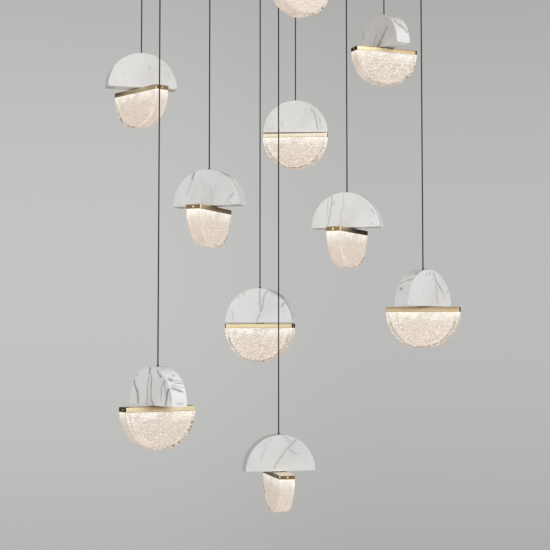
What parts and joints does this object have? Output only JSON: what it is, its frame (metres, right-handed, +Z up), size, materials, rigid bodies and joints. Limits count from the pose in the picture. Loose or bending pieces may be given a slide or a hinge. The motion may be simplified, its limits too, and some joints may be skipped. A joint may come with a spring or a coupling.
{
  "type": "pendant cluster ceiling light",
  "caption": "Cluster ceiling light: half-round marble slabs hang on black cords at staggered heights, each over a half-round cast glass light that swivels below it.",
  "frame": {"origin": "centre of the canopy on the ceiling plane, where the bracket bolts to the ceiling", "axes": "+Z up into the ceiling, -Y towards the front that the picture shows, +X to the viewer's right"},
  "size_m": [0.9915, 0.9216, 1.7335],
  "materials": {
    "zinc_steel": "satin",
    "canopy_brass": "satin",
    "driver_case": "matte",
    "terminal_plastic": "matte",
    "black_fitting": "satin",
    "nylon": "satin",
    "cord_sleeve": "matte",
    "white_marble": "satin",
    "satin_brass": "satin",
    "led_board": "matte",
    "cast_glass": "gloss"
  },
  "bodies": {
    "root": {"ceiling_plate": "zinc_steel", "canopy_pan": "canopy_brass", "canopy_bolts": "canopy_brass", "led_drivers": "driver_case", "terminal_block": "terminal_plastic", "cord_grips": "black_fitting", "cord_bushes": "black_fitting", "pivot_stems": "zinc_steel", "pivot_nuts": "zinc_steel", "friction_washers": "nylon", "cord_1": "cord_sleeve", "cord_2": "cord_sleeve", "cord_3": "cord_sleeve", "cord_4": "cord_sleeve", "cord_5": "cord_sleeve", "cord_6": "cord_sleeve", "cord_7": "cord_sleeve", "cord_8": "cord_sleeve", "cord_9": "cord_sleeve", "cord_10": "cord_sleeve", "marble_1": "white_marble", "marble_2": "white_marble", "marble_3": "white_marble", "marble_4": "white_marble", "marble_5": "white_marble", "marble_6": "white_marble", "marble_7": "white_marble", "marble_8": "white_marble", "marble_9": "white_marble", "marble_10": "white_marble"},
    "light_1": {"bar_1": "satin_brass", "led_board_1": "led_board", "glass_1": "cast_glass"},
    "light_2": {"bar_2": "satin_brass", "led_board_2": "led_board", "glass_2": "cast_glass"},
    "light_3": {"bar_3": "satin_brass", "led_board_3": "led_board", "glass_3": "cast_glass"},
    "light_4": {"bar_4": "satin_brass", "led_board_4": "led_board", "glass_4": "cast_glass"},
    "light_5": {"bar_5": "satin_brass", "led_board_5": "led_board", "glass_5": "cast_glass"},
    "light_6": {"bar_6": "satin_brass", "led_board_6": "led_board", "glass_6": "cast_glass"},
    "light_7": {"bar_7": "satin_brass", "led_board_7": "led_board", "glass_7": "cast_glass"},
    "light_8": {"bar_8": "satin_brass", "led_board_8": "led_board", "glass_8": "cast_glass"},
    "light_9": {"bar_9": "satin_brass", "led_board_9": "led_board", "glass_9": "cast_glass"},
    "light_10": {"bar_10": "satin_brass", "led_board_10": "led_board", "glass_10": "cast_glass"}
  },
  "joints": [
    {"name": "swivel_1", "type": "hinge", "parent": "root", "child": "light_1", "pos_m": [-0.377, 0.028, -0.542], "axis": [0, 0, 1], "range_deg": [-105, 235]},
    {"name": "swivel_2", "type": "hinge", "parent": "root", "child": "light_2", "pos_m": [0.068, -0.375, -0.315], "axis": [0, 0, 1], "range_deg": [-205, 135]},
    {"name": "swivel_3", "type": "hinge", "parent": "root", "child": "light_3", "pos_m": [0.331, 0.208, -0.387], "axis": [0, 0, 1], "range_deg": [-253, 87]},
    {"name": "swivel_4", "type": "hinge", "parent": "root", "child": "light_4", "pos_m": [0.068, 0.4, -0.613], "axis": [0, 0, 1], "range_deg": [-166, 174]},
    {"name": "swivel_5", "type": "hinge", "parent": "root", "child": "light_5", "pos_m": [-0.174, -0.126, -0.894], "axis": [0, 0, 1], "range_deg": [-261, 79]},
    {"name": "swivel_6", "type": "hinge", "parent": "root", "child": "light_6", "pos_m": [0.209, 0.022, -0.941], "axis": [0, 0, 1], "range_deg": [-254, 86]},
    {"name": "swivel_7", "type": "hinge", "parent": "root", "child": "light_7", "pos_m": [0.41, -0.095, -1.165], "axis": [0, 0, 1], "range_deg": [-108, 232]},
    {"name": "swivel_8", "type": "hinge", "parent": "root", "child": "light_8", "pos_m": [-0.039, 0.133, -1.207], "axis": [0, 0, 1], "range_deg": [-170, 170]},
    {"name": "swivel_9", "type": "hinge", "parent": "root", "child": "light_9", "pos_m": [-0.296, -0.296, -1.424], "axis": [0, 0, 1], "range_deg": [-254, 86]},
    {"name": "swivel_10", "type": "hinge", "parent": "root", "child": "light_10", "pos_m": [0.015, 0.004, -1.619], "axis": [0, 0, 1], "range_deg": [-79, 261]}
  ]
}
